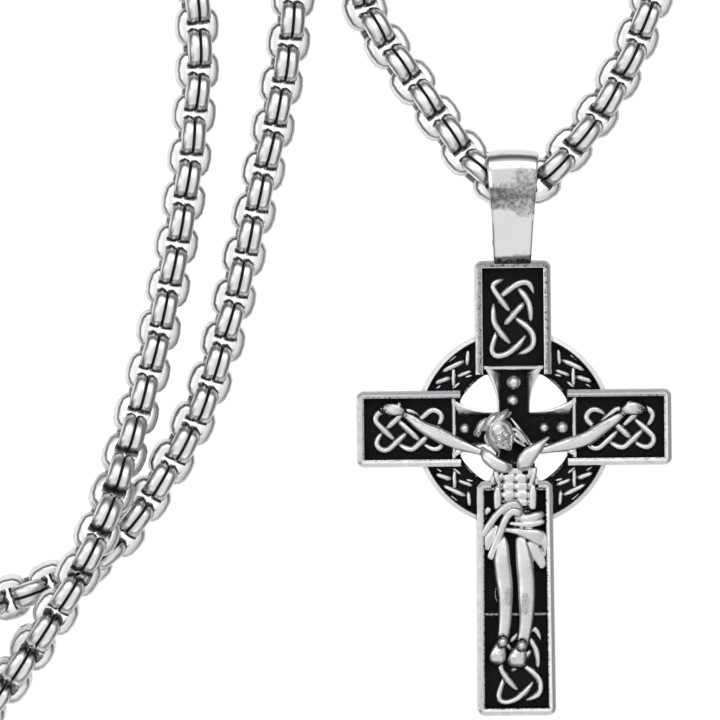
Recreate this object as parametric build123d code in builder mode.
import math
import os
from collections import namedtuple

from build123d import *

os.makedirs("parts", exist_ok=True)

# Celtic knot crucifix pendant on a round box chain, in millimetres.
# It lies on its back on Z = 0. The origin is the middle of the cross, +Y runs up to the bail.

# Cross arms and their raised frames
arm_width = 6.1
foot_width = 6.3
top_reach = 13.4
side_reach = 12.6
foot_reach = 23.0
arm_start = 4.26
corner_radius = 0.35
frame_wall = 0.7
frame_bevel = 0.25
frame_top = 2.5
panel_floor = 1.5
foot_ledge = 14.9
foot_ledge_width = 0.25
foot_ledge_height = 0.3

# Ring between the arms
ring_radius = 7.95
ring_opening_radius = 4.8
ring_floor = 1.2
ring_rim = 0.35
ring_rim_top = 2.0
ring_lip = 0.2
ring_lip_top = 1.7

# Flared cross inside the ring, with its round beads
flare_reach = 4.96
flare_half_end = 2.48
flare_half_waist = 1.25
flare_middle = (1.5, 3.1)
flare_rim = 0.3
flare_floor = 1.6
flare_top = 2.3
bead_sink = 0.35
Bead = namedtuple("Bead", "x y radius")
beads = [
    Bead(0.0, 3.65, 0.62),
    Bead(-0.1, 2.2, 0.5),
    Bead(-3.95, 0.0, 0.46),
    Bead(2.4, 0.0, 0.42),
    Bead(3.85, 0.0, 0.52),
]

# Knotwork: a closed plait of one strand, drawn from its crossings
knot_strand = 0.46
knot_relief = 0.5
knot_tuck = 0.42
knot_bend = 0.5
Knot = namedtuple("Knot", "x y columns rows width height")
knots = [
    Knot(-0.05, 8.85, 2, 3, 3.7, 6.2),
    Knot(0.25, -18.9, 2, 3, 3.7, 6.2),
    Knot(-8.4, -0.1, 3, 2, 5.9, 3.7),
    Knot(8.5, -0.1, 3, 2, 5.9, 3.7),
]

# Strands on one quarter of the ring, mirrored to the other three
ring_strand = 0.36
ring_strand_relief = 0.45
Strand = namedtuple("Strand", "x1 y1 x2 y2")
ring_strands = [
    Strand(4.8, 4.85, 4.8, 3.28),
    Strand(6.15, 3.75, 5.25, 4.02),
    Strand(4.35, 4.28, 3.45, 4.56),
    Strand(5.6, 4.7, 4.0, 5.4),
    Strand(3.62, 6.2, 3.7, 5.2),
]

# Bail: a tapered loop seen from the side, closed behind
bail_wall = 0.7
bail_depth = 5.7
bail_top = 22.28
bail_root_depth = 2.3
bail_top_width = 4.1
bail_root_width = 2.95
bail_sink = 0.3
bail_hole_low = 15.4

# Figure: rows of round sections along each limb, with caps a little wider than its ends
cap_growth = 1.02
poles_in_plane = Rot(X=90) * Rot(Z=90)
Section = namedtuple("Section", "x y z radius")
left_arm = [
    Section(-9.2, 1.2, 1.75, 0.36),
    Section(-7.6, 0.45, 1.8, 0.44),
    Section(-6.1, -0.5, 1.85, 0.52),
    Section(-4.2, -1.2, 1.95, 0.5),
    Section(-2.2, -2.1, 2.2, 0.62),
]
right_arm = [
    Section(8.9, 1.1, 1.75, 0.36),
    Section(7.2, 0.1, 1.8, 0.44),
    Section(5.5, -1.05, 1.85, 0.5),
    Section(3.7, -1.6, 1.95, 0.48),
    Section(1.8, -2.3, 2.2, 0.62),
]
left_leg = [
    Section(-1.0, -8.8, 2.1, 0.62),
    Section(-1.1, -11.0, 2.1, 0.64),
    Section(-0.9, -13.0, 2.0, 0.54),
    Section(-0.94, -16.1, 1.85, 0.46),
    Section(-1.15, -17.4, 1.85, 0.4),
]
right_leg = [
    Section(0.4, -8.8, 2.1, 0.6),
    Section(0.77, -11.0, 2.1, 0.64),
    Section(0.85, -13.0, 2.0, 0.6),
    Section(0.72, -16.1, 1.85, 0.46),
    Section(0.35, -17.6, 1.85, 0.4),
]
Slice = namedtuple("Slice", "y half_width z half_depth")
torso = [
    Slice(-1.5, 1.9, 2.1, 0.55),
    Slice(-2.7, 2.1, 2.2, 0.85),
    Slice(-4.2, 1.7, 2.1, 0.75),
    Slice(-5.8, 1.72, 2.05, 0.7),
    Slice(-7.4, 2.35, 2.1, 0.85),
    Slice(-9.4, 2.1, 2.0, 0.75),
]
Lump = namedtuple("Lump", "x y z half_x half_y half_z turn")
head = Lump(-1.1, -0.35, 3.0, 0.95, 1.25, 1.05, 30)
hair = Lump(0.3, -0.7, 2.45, 0.8, 0.6, 0.6, -20)
left_hand = Lump(-9.85, 1.55, 1.85, 1.2, 0.72, 0.55, 0)
right_hand = Lump(9.5, 1.4, 1.85, 1.24, 0.68, 0.55, 0)
left_foot = Lump(-1.5, -18.05, 1.9, 0.66, 0.9, 0.6, -8)
right_foot = Lump(0.05, -18.35, 1.9, 0.74, 0.95, 0.6, -8)
Fold = namedtuple("Fold", "x1 y1 x2 y2 z radius")
hair_folds = [
    Fold(-2.9, -0.5, -0.4, 1.15, 2.9, 0.4),
    Fold(-0.2, 0.85, 1.2, -0.95, 2.35, 0.28),
]
cloth_folds = [
    Fold(-0.4, -6.2, -2.5, -8.3, 2.35, 0.42),
    Fold(0.0, -6.9, 2.2, -6.7, 2.45, 0.4),
    Fold(-2.2, -8.4, -2.05, -9.8, 1.95, 0.42),
    Fold(1.35, -9.0, 2.05, -10.6, 1.95, 0.42),
    Fold(2.1, -8.0, 2.25, -9.5, 1.95, 0.36),
]
nails = [Bead(-1.14, -17.07, 0.36), Bead(0.38, -17.4, 0.36)]
nail_height = 2.35

# Clasp and its two rings, in line with the chain
clasp_y = -18.2
clasp_right = -93.1
clasp_length = 12.6
clasp_thickness = 1.9
clasp_hook_width = 5.0
clasp_eye_width = 3.9
clasp_bar = 1.0
ring_wire = 0.8
ring_middle = 2.0
ring_slack = 0.4
ring_gap = 0.2

# Chain
chain_width = 3.5
bail_clearance = 0.2
crossing_clearance = 0.8
bail_bend = 4.2
bend_share = 0.45
lie = chain_width / 2
lift = bail_wall + bail_clearance + chain_width / 2
over = 1.5 * chain_width + crossing_clearance
end_ring_x = clasp_right - clasp_bar / 2 + ring_slack
clasp_ring_x = clasp_right - clasp_length + clasp_bar / 2 - ring_slack
ring_reach = ring_middle + ring_wire / 2

# The route's chosen points run from the clasp through the bail and back. A bend of 0 is worked out.
Bend = namedtuple("Bend", "x y z radius", defaults=(0,))
left_route = [
    Bend(end_ring_x + ring_reach + ring_gap, clasp_y, lie),
    Bend(-75.0, -18.2, lie),
    Bend(-60.5, -17.1, lie),
    Bend(-46.6, -14.8, lie),
    Bend(-34.0, -11.4, lie),
    Bend(-28.4, -4.3, lie),
    Bend(-24.1, 3.6, lie),
    Bend(-21.2, 15.0, lie),
    Bend(-18.3, 27.4, lie),
    Bend(-16.9, 37.0, lie),
    Bend(-19.0, 46.0, lie),
    Bend(-20.8, 56.0, lie),
    Bend(-20.6, 66.2, lie),
    Bend(-14.6, 73.4, lie),
    Bend(-5.6, 73.6, lie),
    Bend(0.8, 66.8, lie),
    Bend(0.2, 57.0, lie),
    Bend(-10.6, 45.0, lie),
    Bend(-13.0, 35.6, lie),
    Bend(-7.4, 27.0, lie),
    Bend(-2.65, 18.75, lift, bail_bend),
    Bend(0.35, 18.75, lift),
]
right_route = [
    Bend(0.35, 18.75, lift),
    Bend(2.9, 18.75, lift, bail_bend),
    Bend(8.5, 27.4, lie),
    Bend(12.3, 37.0, lie),
    Bend(15.8, 46.5, lie),
    Bend(16.6, 58.0, lie),
    Bend(13.4, 70.0, lie),
    Bend(5.0, 80.0, lie),
    Bend(-7.2, 84.6, lie),
    Bend(-19.8, 81.2, lie),
    Bend(-27.6, 71.2, lie),
    Bend(-29.4, 58.4, lie),
    Bend(-27.2, 45.8, lie),
    Bend(-24.7, 33.6, lie),
    Bend(-25.6, 22.0, lie),
    Bend(-27.8, 10.0, lie),
    Bend(-30.4, 0.6, lie),
    Bend(-33.2, -8.4, over),
    Bend(-37.2, -15.4, over),
    Bend(-43.6, -23.6, lie),
    Bend(-53.0, -31.6, lie),
    Bend(-66.0, -37.4, lie),
    Bend(-80.0, -40.2, lie),
    Bend(-93.0, -41.4, lie),
    Bend(-106.4, -41.0, lie),
    Bend(-115.8, -37.4, lie),
    Bend(-120.6, -29.2, lie),
    Bend(-117.0, -20.6, lie),
    Bend(clasp_ring_x - ring_reach - ring_gap, clasp_y, lie),
]


def mirrored_quarters(rows):
    """Gives each row in all four quarters."""
    for row in rows:
        for side in (1, -1):
            for end in (1, -1):
                yield Strand(row.x1 * side, row.y1 * end, row.x2 * side, row.y2 * end)


def next_crossing(i, j, di, dj, columns, rows):
    """Follows a strand from a crossing to the next one, and gives the turns and that crossing."""
    turns = []
    while True:
        i, j = i + di, j + dj
        at_side = i in (0, 2 * columns)
        at_end = j in (0, 2 * rows)
        if not at_side and not at_end:
            return turns, (i, j)
        turns.append((i, j))
        if at_side:
            di = -di
        if at_end:
            dj = -dj


def knot_strands(knot):
    """Gives each strand of a plait that lies on top, as points from one dive to the next."""
    cell_x = knot.width / (2 * knot.columns)
    cell_y = knot.height / (2 * knot.rows)

    def place(point):
        return Vector(
            knot.x + (point[0] - knot.columns) * cell_x,
            knot.y + (point[1] - knot.rows) * cell_y,
        )

    for i in range(1, 2 * knot.columns):
        for j in range(1, 2 * knot.rows):
            if (i + j) % 2 == 0:
                continue
            slope = 1 if i % 2 == 0 else -1
            turns, end = next_crossing(i, j, 1, slope, knot.columns, knot.rows)
            turns_back, start = next_crossing(i, j, -1, -slope, knot.columns, knot.rows)
            points = [place(p) for p in [start, *reversed(turns_back), *turns, end]]
            points[0] += (points[1] - points[0]).normalized() * knot_tuck
            points[-1] += (points[-2] - points[-1]).normalized() * knot_tuck
            yield points


def draw_band(points, width, bend):
    """Draws a flat band of even width along points, with rounded turns."""
    with BuildLine() as path:
        if len(points) == 2:
            Line(*points)
        else:
            FilletPolyline(*points, radius=bend)
    trace(path.edges(), line_width=width)


def make_limb(sections):
    """Lofts a limb through round sections and rounds both ends."""
    places = [Vector(s.x, s.y, s.z) for s in sections]
    planes = []
    rings = []
    for n, section in enumerate(sections):
        along = places[min(n + 1, len(places) - 1)] - places[max(n - 1, 0)]
        planes.append(Plane(origin=places[n], x_dir=(0, 0, 1), z_dir=along))
        with BuildSketch(planes[n]) as ring:
            Circle(section.radius)
        rings.append(ring.sketch)
    with BuildPart() as limb:
        loft(rings)
        for n in (0, -1):
            with Locations(planes[n]):
                Sphere(sections[n].radius * cap_growth)
    return limb.part


def make_fold(fold):
    """Makes a straight round fold with rounded ends."""
    start = Vector(fold.x1, fold.y1, fold.z)
    end = Vector(fold.x2, fold.y2, fold.z)
    plane = Plane(origin=start, x_dir=(0, 0, 1), z_dir=end - start)
    with BuildPart() as roll:
        with BuildSketch(plane):
            Circle(fold.radius)
        extrude(amount=(end - start).length)
        with Locations(plane, plane.offset((end - start).length)):
            Sphere(fold.radius * cap_growth)
    return roll.part


def make_lump(lump):
    """Makes an ellipsoid, turned about Z, with its poles in the plane of the cross."""
    ball = poles_in_plane * Sphere(1)
    ball = scale(ball, by=(lump.half_x, lump.half_y, lump.half_z))
    return Pos(lump.x, lump.y, lump.z) * Rot(Z=lump.turn) * ball


def make_torso(slices):
    """Lofts the body through flat oval slices."""
    with BuildPart() as body:
        for row in slices:
            with BuildSketch(Plane((0, row.y, row.z), x_dir=(1, 0, 0), z_dir=(0, -1, 0))):
                Ellipse(row.half_width, row.half_depth)
        loft()
    return body.part


def arm_plan():
    """Draws the four arms, the lower one flared."""
    half = arm_width / 2
    with Locations((0, (top_reach + arm_start) / 2)):
        Rectangle(arm_width, top_reach - arm_start)
    for side in (1, -1):
        with Locations((side * (side_reach + arm_start) / 2, 0)):
            Rectangle(side_reach - arm_start, arm_width)
    with BuildLine() as lower_arm:
        Polyline(
            (-half, -arm_start),
            (half, -arm_start),
            (foot_width / 2, -foot_reach),
            (-foot_width / 2, -foot_reach),
            close=True,
        )
    make_face(lower_arm.edges())


def panel_plan():
    """Draws the sunk panel of each arm, open towards the middle."""
    width = arm_width - 2 * frame_wall
    top_length = top_reach - frame_wall - arm_start
    side_length = side_reach - frame_wall - arm_start
    with Locations((0, arm_start + top_length / 2)):
        Rectangle(width, top_length)
    for side in (1, -1):
        with Locations((side * (arm_start + side_length / 2), 0)):
            Rectangle(side_length, width)
    foot_half = foot_width / 2 - frame_wall
    with BuildLine() as lower_panel:
        Polyline(
            (-width / 2, -arm_start),
            (width / 2, -arm_start),
            (foot_half, frame_wall - foot_reach),
            (-foot_half, frame_wall - foot_reach),
            close=True,
        )
    make_face(lower_panel.edges())


def ring_plan(outer, inner):
    """Draws the four quarters of a ring that show between the arms."""
    Circle(outer)
    Circle(inner, mode=Mode.SUBTRACT)
    Rectangle(arm_width, 2 * outer, mode=Mode.SUBTRACT)
    Rectangle(2 * outer, arm_width, mode=Mode.SUBTRACT)


def flare_plan():
    """Draws the flared cross inside the ring."""
    waist = flare_half_waist
    mid_x, mid_y = flare_middle
    with BuildLine() as edge:
        for quarter in range(4):
            turn = Axis.Z
            angle = 90 * quarter
            points = [
                Vector(waist, waist).rotate(turn, angle),
                Vector(mid_x, mid_y).rotate(turn, angle),
                Vector(flare_half_end, flare_reach).rotate(turn, angle),
                Vector(-flare_half_end, flare_reach).rotate(turn, angle),
                Vector(-mid_x, mid_y).rotate(turn, angle),
                Vector(-waist, waist).rotate(turn, angle),
            ]
            ThreePointArc(*points[:3])
            Line(points[2], points[3])
            ThreePointArc(*points[3:])
    make_face(edge.edges())


figure = [make_torso(torso)]
figure += [make_limb(limb) for limb in (left_arm, right_arm, left_leg, right_leg)]
figure += [make_fold(fold) for fold in hair_folds + cloth_folds]
figure += [make_lump(lump) for lump in (head, hair, left_hand, right_hand, left_foot, right_foot)]
for nail in nails:
    figure.append(Pos(nail.x, nail.y, nail_height) * poles_in_plane * Sphere(nail.radius))

# The bail's side view is the outline round two circles that both rest on the back.
with BuildPart() as bail:
    root_y = top_reach - bail_sink
    top_y = bail_top - bail_depth / 2
    hole_y = bail_hole_low
    share = (hole_y - root_y) / (top_y - root_y)
    hole_z = (bail_root_depth + share * (bail_depth - bail_root_depth)) / 2
    with BuildSketch(Plane.YZ):
        with Locations((top_y, bail_depth / 2)):
            Circle(bail_depth / 2)
        with Locations((root_y, bail_root_depth / 2)):
            Circle(bail_root_depth / 2)
        make_hull()
    extrude(amount=bail_top_width, both=True)
    with BuildSketch(Plane.YZ):
        with Locations((top_y, bail_depth / 2)):
            Circle(bail_depth / 2 - bail_wall)
        with Locations((hole_y, hole_z)):
            Circle(hole_z - bail_wall)
        make_hull()
    extrude(amount=bail_top_width, both=True, mode=Mode.SUBTRACT)
    with BuildSketch():
        with BuildLine():
            Polyline(
                (-bail_root_width / 2, root_y - bail_root_depth),
                (bail_root_width / 2, root_y - bail_root_depth),
                (bail_root_width / 2, top_reach),
                (bail_top_width / 2, bail_top),
                (-bail_top_width / 2, bail_top),
                (-bail_root_width / 2, top_reach),
                close=True,
            )
        make_face()
    extrude(amount=bail_depth, mode=Mode.INTERSECT)

# The crucifix is one casting: arms with sunk panels, ring, flared cross, knots, bail and figure.
with BuildPart() as crucifix:
    with BuildSketch():
        arm_plan()
    extrude(amount=frame_top)
    fillet(crucifix.edges().filter_by(Axis.Z).group_by(Axis.Y)[-1], corner_radius)
    fillet(crucifix.edges().filter_by(Axis.Z).group_by(Axis.Y)[0], corner_radius)
    fillet(crucifix.edges().filter_by(Axis.Z).group_by(Axis.X)[-1], corner_radius)
    fillet(crucifix.edges().filter_by(Axis.Z).group_by(Axis.X)[0], corner_radius)
    chamfer(crucifix.faces().filter_by(Axis.Z).group_by(Axis.Z)[-1].edges(), frame_bevel)
    with BuildSketch(Plane.XY.offset(panel_floor)):
        panel_plan()
    extrude(amount=frame_top - panel_floor, mode=Mode.SUBTRACT)
    with BuildSketch():
        ring_plan(ring_radius, ring_opening_radius)
    extrude(amount=ring_floor)
    with BuildSketch():
        ring_plan(ring_radius, ring_radius - ring_rim)
    extrude(amount=ring_rim_top)
    with BuildSketch():
        ring_plan(ring_opening_radius + ring_lip, ring_opening_radius)
    extrude(amount=ring_lip_top)
    with BuildSketch():
        flare_plan()
    extrude(amount=flare_top)
    with BuildSketch(Plane.XY.offset(flare_floor)):
        flare_plan()
        offset(amount=-flare_rim, kind=Kind.INTERSECTION, mode=Mode.REPLACE)
    extrude(amount=flare_top - flare_floor, mode=Mode.SUBTRACT)
    for bead in beads:
        with Locations((bead.x, bead.y, flare_floor + bead.radius - bead_sink)):
            Sphere(bead.radius)
    with BuildSketch(Plane.XY.offset(panel_floor / 2)):
        for knot in knots:
            for points in knot_strands(knot):
                draw_band(points, knot_strand, knot_bend)
    extrude(amount=panel_floor / 2 + knot_relief)
    with BuildSketch(Plane.XY.offset(ring_floor / 2)):
        for row in mirrored_quarters(ring_strands):
            draw_band([(row.x1, row.y1), (row.x2, row.y2)], ring_strand, 0)
    extrude(amount=ring_floor / 2 + ring_strand_relief)
    with Locations((0, -foot_ledge, panel_floor)):
        Box(arm_width - frame_wall, foot_ledge_width, 2 * foot_ledge_height)
    add([bail.part, *figure])


def add_tube(route):
    """Sweeps a round tube along straight runs joined by tangent arcs, and prints its arcs and length."""
    points = [Vector(bend.x, bend.y, bend.z) for bend in route]
    radii = []
    for n in range(1, len(points) - 1):
        before = points[n] - points[n - 1]
        after = points[n + 1] - points[n]
        turn = math.radians(before.get_angle(after))
        shorter = min(before.length, after.length)
        radii.append(route[n].radius or bend_share * shorter / math.tan(turn / 2))
    with BuildLine() as path:
        FilletPolyline(*points, radius=radii)
    with BuildSketch(Plane(origin=points[0], z_dir=points[1] - points[0])) as section:
        Circle(chain_width / 2)
    sweep(section.sketch, path=path.wires()[0])
    print("arcs", [round(radius, 1) for radius in radii])
    print("length", round(path.wires()[0].length, 2), "area", round(section.sketch.area, 3))


with BuildPart() as box_chain_left:
    add_tube(left_route)

with BuildPart() as box_chain_right:
    add_tube(right_route)

# The clasp is one plain piece: a bar bent into a wide hook end and a small eye.
with BuildPart() as lobster_clasp:
    clasp_left = clasp_right - clasp_length
    hook_x = clasp_right - clasp_hook_width / 2
    eye_x = clasp_left + clasp_eye_width / 2
    with BuildSketch(Plane.XY.offset(ring_reach - clasp_thickness / 2)):
        with Locations((hook_x, clasp_y)):
            Circle(clasp_hook_width / 2)
        with Locations((eye_x, clasp_y)):
            Circle(clasp_eye_width / 2)
        make_hull()
        with Locations((hook_x, clasp_y)):
            Circle(clasp_hook_width / 2 - clasp_bar, mode=Mode.SUBTRACT)
        with Locations((eye_x, clasp_y)):
            Circle(clasp_eye_width / 2 - clasp_bar, mode=Mode.SUBTRACT)
    extrude(amount=clasp_thickness)

for name, x in (("end_ring", end_ring_x), ("clasp_ring", clasp_ring_x)):
    with BuildPart() as jump_ring:
        with BuildSketch(Plane.XY.offset(ring_reach)):
            with Locations((x + ring_middle, clasp_y)):
                Circle(ring_wire / 2)
        revolve(axis=Axis((x, clasp_y, ring_reach), (0, 1, 0)))
    jump_ring.part.label = name
    export_step(jump_ring.part, f"parts/{name}.step")

crucifix.part.label = "crucifix"
box_chain_left.part.label = "box_chain_left"
box_chain_right.part.label = "box_chain_right"
lobster_clasp.part.label = "lobster_clasp"
export_step(crucifix.part, "parts/crucifix.step")
export_step(box_chain_left.part, "parts/box_chain_left.step")
export_step(box_chain_right.part, "parts/box_chain_right.step")
export_step(lobster_clasp.part, "parts/lobster_clasp.step")
